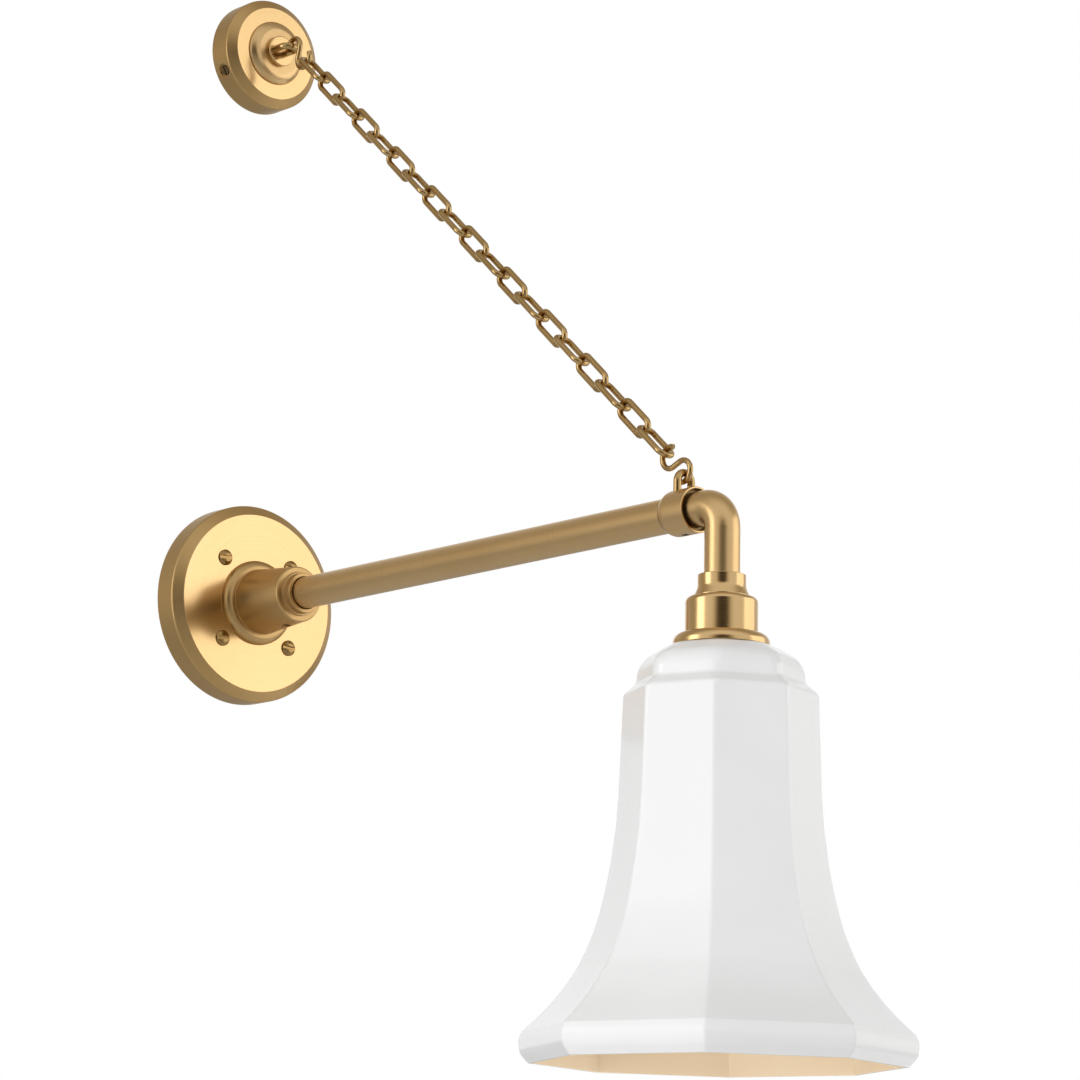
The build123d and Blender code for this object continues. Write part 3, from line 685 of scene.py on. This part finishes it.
def makeChain():
    linkEnd = (chain["inner"] + chain["wire"]) / 2
    for index in range(linkCount):
        name = f"chain_link_{index + 1:02d}"
        across = sideways if index % 2 else chainUp
        makeLink(name, middle(name), across, f"link_{index + 1:02d}")
    firstBow = firstLink - chainRun * (linkEnd + hook["toLink"] + hook["centres"]) * mm
    lastBow = lastLink + chainRun * (linkEnd + hook["toLink"]) * mm
    makeHook("top_hook", firstBow, 1, "upper_hook")
    makeHook("bottom_hook", lastBow, -1, "lower_hook")
    upper = upperFoot + outwards * loop["upperFoot"] * mm
    makeLoop("canopy_loop", upper, outwards, upwards, loop["upperLeg"])
    lower = outwards * loop["lowerOut"] * mm + upwards * loop["lowerFoot"] * mm
    makeLoop("collar_loop", lower, upwards, -outwards, loop["lowerLeg"])


makeChain()
print("chain made")


# Glass shade

# Half widths across the flats, then falls from the shade's top, then rounds
shade = {
    "turn": -2.0, "sides": 8, "wall": 4.0, "neck": 20.0,
    "outer": [(27.7, 0, 10), (41.2, 8.9, 12), (42.0, 19.9, 3), (47.6, 25.2, 3), (50.15, 105.9, 250),
              (60.9, 155.1, 104), (75.3, 182.3, 98), (94.0, 201.4, 0.2), (95.7, 205.8, 7), (95.0, 212.4, 7),
              (90.5, 217.6, 0.5)],
    "inner": [(88.7, 217.6, 0.4), (88.7, 200.85, 1.5), (72.05, 184.7, 102), (57.1, 156.5, 108),
              (46.2, 106.4, 254), (43.65, 27.0, 1.5), (38.1, 21.7, 7), (37.35, 11.15, 8), (26.5, 4.0, 6)],
    "domeEdge": 4.5, "bodyEdge": 0.9, "edgeSegments": 4, "domeEnd": 18.0, "bodyStart": 26.0, "lipEdge": 0.6,
    "onCorner": 0.02, "upright": 0.1, "level": 1.9, "insideStart": 3.0, "insideUp": 0.5, "crease": 15,
}


def softenCorners(mesh, top, values=shade):
    # the eight upright edges are wide and soft round the dome and nearly crisp from the cove down
    weight = mesh.edges.layers.float.new("bevel_weight_edge")
    least = values["bodyEdge"] / values["domeEdge"]
    step = math.tau / values["sides"]
    first = math.atan2(-1, 0) + math.radians(values["turn"])
    lip = values["outer"][-1][1] - values["lipEdge"]
    for edge in mesh.edges:
        if len(edge.link_faces) < 2:
            continue
        places = [vert.co - top for vert in edge.verts]
        turns = [((math.atan2(place.y, place.x) - first) / step + 0.5) % 1 - 0.5 for place in places]
        outside = places[0].xy + places[1].xy
        normal = edge.link_faces[0].normal + edge.link_faces[1].normal
        fall = -(places[0].z + places[1].z) / 2 / mm
        onCorner = max(abs(turn) for turn in turns) < values["onCorner"]
        uprightEdge = onCorner and places[0].xy.angle(places[1].xy) < values["upright"]
        onTop = normal.z > values["level"]
        if uprightEdge and (outside.dot(normal.xy) > 0 or onTop) and fall < lip:
            blend = min(1, max(0, (fall - values["domeEnd"]) / (values["bodyStart"] - values["domeEnd"])))
            edge[weight] = 1 - blend * (1 - least)


def makeShade(values=shade):
    toCorner = 1 / math.cos(math.pi / values["sides"])
    top = shadeAxis + upwards * shadeTop
    turn = math.radians(values["turn"])
    across = Matrix.Rotation(turn, 3, "Z") @ outwards
    corners = [(values["neck"], 0), *values["outer"], *values["inner"], (values["neck"], values["wall"])]
    corners = [(halfWidth * toCorner, -fall, *softness) for halfWidth, fall, *softness in corners]
    mesh = bmesh.new()
    drawProfile(mesh, corners, across, upwards, top)
    bmesh.ops.spin(mesh, geom=mesh.verts[:] + mesh.edges[:], cent=top, axis=upwards, angle=math.tau,
                   steps=values["sides"], use_merge=True)
    bmesh.ops.remove_doubles(mesh, verts=mesh.verts, dist=meshWork["merge"])
    bmesh.ops.recalc_face_normals(mesh, faces=mesh.faces)
    # inner faces below the top get the warm inside colour, painted light
    for face in mesh.faces:
        fromAxis = face.calc_center_median() - shadeAxis
        inwards = fromAxis.xy.dot(face.normal.xy) < 0
        below = fromAxis.z < shadeTop - values["insideStart"] * mm
        if inwards and below and face.normal.z < values["insideUp"]:
            face.material_index = 1
    softenCorners(mesh, top)
    piece = finishPiece("glass_shade", mesh, "shade", "glass_shade", [glassOutside, glassInsideGlow],
                        crease=values["crease"])
    soften = piece.modifiers.new("softCorners", "BEVEL")
    soften.limit_method = "WEIGHT"
    soften.width = values["domeEdge"] * mm
    soften.segments = values["edgeSegments"]
    piece.modifiers.move(1, 0)


makeShade()
print("shade made")


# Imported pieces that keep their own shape

keptFinishes = {
    "elbow": castBrass, "shade_ring": castBrass, "wall_bracket": zincSteel, "hub_nipple": zincSteel,
    "hub_locknut": zincSteel, "tube_coupler": zincSteel, "tube_insert": zincSteel, "lamp_nipple": zincSteel,
    "canopy_disc": zincSteel, "canopy_nut": zincSteel, "hub_grub_screw": screwBrass,
    # the canopy screw gets the dark brass as painted shade in its sunk hole
    "collar_grub_screw": screwBrass, "canopy_screw": paintedShadeBrass, "lampholder": porcelain,
    "lamp_shell": contactBrass, "centre_contact": contactBrass,
}
for node, material in keptFinishes.items():
    data = nodes[node].data
    data.materials.clear()
    data.materials.append(material)
print("packed pieces finished")


# Stage, lights and camera

stage = {"floorDrop": 1.6, "floorSize": 48.0, "floorTone": (0.64, 0.64, 0.64, 1), "floorRoughness": 0.7,
         "floorLift": (0.47, 0.47, 0.47)}
cameraView = {"place": (-1.362048, -1.871710, -0.423844), "turn": 40.595, "tilt": 11.493, "roll": 1.072,
              "focal": 3835.161, "frame": 1080.0, "sensor": 36.0, "farClip": 60.0}


def makeFloor(values=stage):
    mesh = bmesh.new()
    place = Matrix.Translation((0, 0, -values["floorDrop"]))
    bmesh.ops.create_grid(mesh, x_segments=1, y_segments=1, size=values["floorSize"] / 2, matrix=place)
    data = bpy.data.meshes.new("floor")
    mesh.to_mesh(data)
    mesh.free()
    # seen by the camera, the floor is lifted towards the backdrop's white
    finish = Finish("paleFloor")
    camera = finish.add("ShaderNodeLightPath", output="Is Camera Ray")
    data.materials.append(finish.surface(
        Base_Color=values["floorTone"], Roughness=values["floorRoughness"], Emission_Strength=1.0,
        Emission_Color=finish.mix(camera, (0, 0, 0), values["floorLift"])))
    floor = bpy.data.objects.new("floor", data)
    bpy.context.scene.collection.objects.link(floor)


# The main view's level direction, the even light on matt surfaces, and the room that polished surfaces
# mirror, as stops from behind the main view's camera round to its backdrop
studio = {
    "facing": (0.651, 0.759, 0.0), "onMatt": 0.51, "towardsCamera": 0.10,
    "room": [(0.0, (0.010, 0.004, 0.000)), (0.028, (0.030, 0.016, 0.002)), (0.055, (0.62, 0.58, 0.50)),
             (0.10, (0.86, 0.86, 0.86)), (0.32, (0.80, 0.79, 0.77)), (0.50, (0.44, 0.40, 0.34)),
             (0.66, (0.40, 0.36, 0.29)), (0.80, (0.52, 0.50, 0.46)), (0.90, (0.70, 0.70, 0.69)),
             (0.955, (1.0, 1.0, 1.0))],
}


def makeWorld(values=studio):
    # camera rays see plain white, mirrored rays the room, and matt surfaces an even, weaker light
    world = bpy.data.worlds.new("studio")
    bpy.context.scene.world = world
    world.use_nodes = True
    finish = Finish(tree=world.node_tree)
    aim = finish.add("ShaderNodeTexCoord", output="Generated")
    toBackdrop = finish.add("ShaderNodeVectorMath", {"operation": "DOT_PRODUCT"},
                            {0: aim, 1: values["facing"]}, "Value")
    room = finish.add("ShaderNodeValToRGB", {"stops": values["room"]}, {"Fac": toBackdrop * 0.5 + 0.5})
    camera, glossy, clear = (finish.add("ShaderNodeLightPath", output=ray)
                             for ray in ("Is Camera Ray", "Is Glossy Ray", "Is Transmission Ray"))
    backdrop = finish.add("ShaderNodeBackground", None, {"Color": finish.mix(camera, room, (1, 1, 1))})
    matt = finish.add("ShaderNodeBackground", None,
                      {"Color": (1, 1, 1, 1),
                       "Strength": values["onMatt"] - toBackdrop * values["towardsCamera"]})
    mixed = finish.add("ShaderNodeMixShader", None, {0: camera + glossy + clear, 1: matt, 2: backdrop})
    finish.add("ShaderNodeOutputWorld", None, {"Surface": mixed})


# Soft lamps light matt surfaces alone and edge lamps show in polished ones alone
lampAim = (0, -0.25, 0)
lamps = {
    "softLeft": {"place": (-3.04, -0.97, 0.2), "size": (1.5, 2.6), "power": 51},
    "softRight": {"place": (2.17, -2.63, 0.2), "size": (1.5, 2.6), "power": 22},
    "softBehind": {"place": (4.1, -1.17, 0.2), "size": (2.2, 2.6), "power": 88},
    "softBelow": {"place": (0, -0.43, -0.40), "aim": (0, -0.43, 0), "size": (0.15, 0.15), "power": 0.075},
    "softLow": {"place": (-1.6, -0.55, -0.70), "aim": (0, -0.43, -0.25), "size": (0.6, 0.6), "power": 1.8},
    "edgeLeft": {"place": (-2.75, 0.78, 0.2), "size": (1.35, 2.4), "power": 20},
    "edgeRight": {"place": (2.78, -2.2, 0.42), "size": (3.0, 2.6), "power": 28.5},
}


def makeLamp(name, values):
    light = bpy.data.lights.new(name, "AREA")
    light.shape = "RECTANGLE"
    light.size, light.size_y = values["size"]
    light.energy = values["power"]
    lamp = bpy.data.objects.new(name, light)
    lamp.visible_camera = False
    lamp.visible_diffuse = name.startswith("soft")
    lamp.visible_glossy = name.startswith("edge")
    lamp.location = values["place"]
    aim = Vector(values.get("aim", lampAim)) - Vector(values["place"])
    lamp.rotation_euler = aim.to_track_quat("-Z", "Y").to_euler()
    bpy.context.scene.collection.objects.link(lamp)


def makeCamera(values=cameraView):
    turn, tilt, roll = (math.radians(values[key]) for key in ("turn", "tilt", "roll"))
    ahead = Vector((math.sin(turn) * math.cos(tilt), math.cos(turn) * math.cos(tilt), math.sin(tilt)))
    right = Vector((math.cos(turn), -math.sin(turn), 0))
    up = right.cross(ahead)
    rolledRight = right * math.cos(roll) + up * math.sin(roll)
    rolledUp = up * math.cos(roll) - right * math.sin(roll)
    data = bpy.data.cameras.new("camera")
    data.sensor_width = values["sensor"]
    data.lens = values["focal"] * values["sensor"] / values["frame"]
    data.clip_end = values["farClip"]
    camera = bpy.data.objects.new("camera", data)
    turnIn = Matrix((rolledRight, rolledUp, -ahead)).transposed().to_4x4()
    camera.matrix_world = Matrix.Translation(values["place"]) @ turnIn
    bpy.context.scene.collection.objects.link(camera)
    bpy.context.scene.camera = camera


makeFloor()
makeWorld()
for name, values in lamps.items():
    makeLamp(name, values)
makeCamera()
bpy.context.scene.view_settings.view_transform = "Standard"
print("stage ready")
